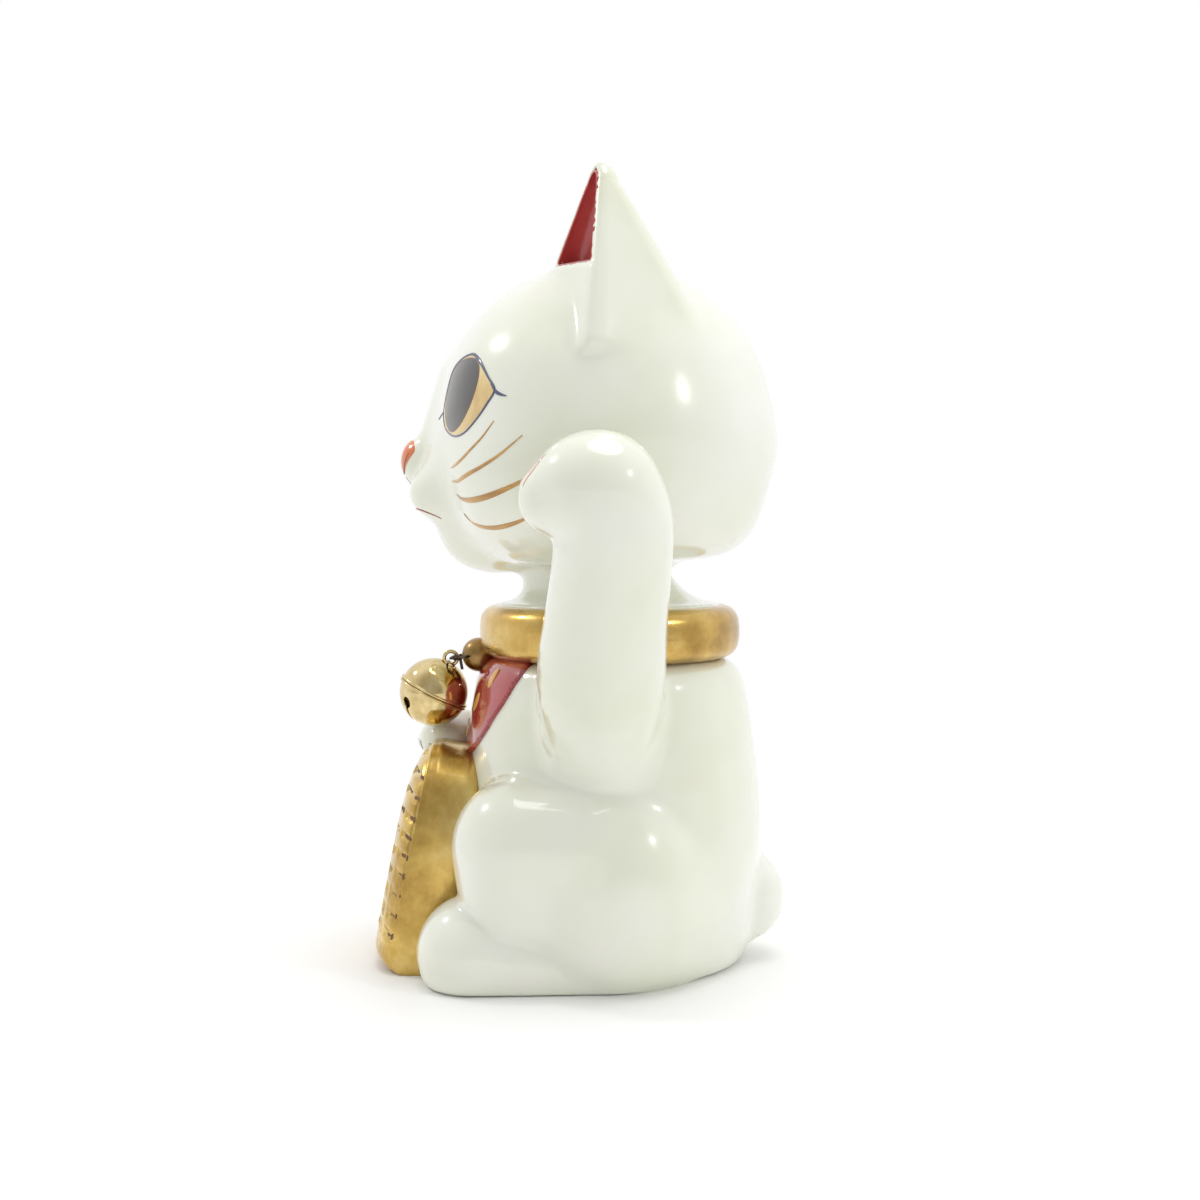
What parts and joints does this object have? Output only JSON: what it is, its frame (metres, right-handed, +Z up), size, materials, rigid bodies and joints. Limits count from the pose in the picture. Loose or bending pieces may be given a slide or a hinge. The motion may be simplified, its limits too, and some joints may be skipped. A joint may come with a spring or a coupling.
{
  "type": "beckoning cat figurine",
  "caption": "Hollow glazed ceramic beckoning cat with a raised left paw, a gold oval coin, a bib, and a jingle bell that swings on a wire loop.",
  "frame": {"origin": "middle of the figure on the flat base it stands on", "axes": "+Z up, the cat faces -Y, its raised left arm is on +X"},
  "size_m": [0.1037, 0.0962, 0.1792],
  "materials": {
    "white_glaze": "gloss",
    "gold_lustre": "satin",
    "red_enamel": "gloss",
    "bell_brass": "polished",
    "bell_wire": "satin",
    "pellet_steel": "satin"
  },
  "bodies": {
    "figurine": {"body_shell": "white_glaze", "head_shell": "white_glaze", "left_ear": "white_glaze", "right_ear": "white_glaze", "raised_arm": "white_glaze", "resting_arm": "white_glaze", "left_leg": "white_glaze", "right_leg": "white_glaze", "tail": "white_glaze", "koban": "gold_lustre", "collar": "gold_lustre", "bib": "red_enamel", "bell_boss": "gold_lustre"},
    "bell_link": {"bell_wire": "bell_wire"},
    "bell": {"bell_upper_shell": "bell_brass", "bell_lower_shell": "bell_brass", "bell_loop": "bell_brass"},
    "pellet": {"bell_pellet": "pellet_steel"}
  },
  "joints": [
    {"name": "link_swing", "type": "hinge", "parent": "figurine", "child": "bell_link", "pos_m": [0, -0.0309, 0.07], "axis": [-1, 0, 0], "range_deg": [0, 45]},
    {"name": "bell_swing", "type": "hinge", "parent": "bell_link", "child": "bell", "pos_m": [0, -0.035, 0.0694], "axis": [-1, 0, 0], "range_deg": [0, 50]},
    {"name": "pellet_roll", "type": "hinge", "parent": "bell", "child": "pellet", "pos_m": [0, -0.03902, 0.0614], "axis": [-1, 0, 0], "continuous": true}
  ]
}
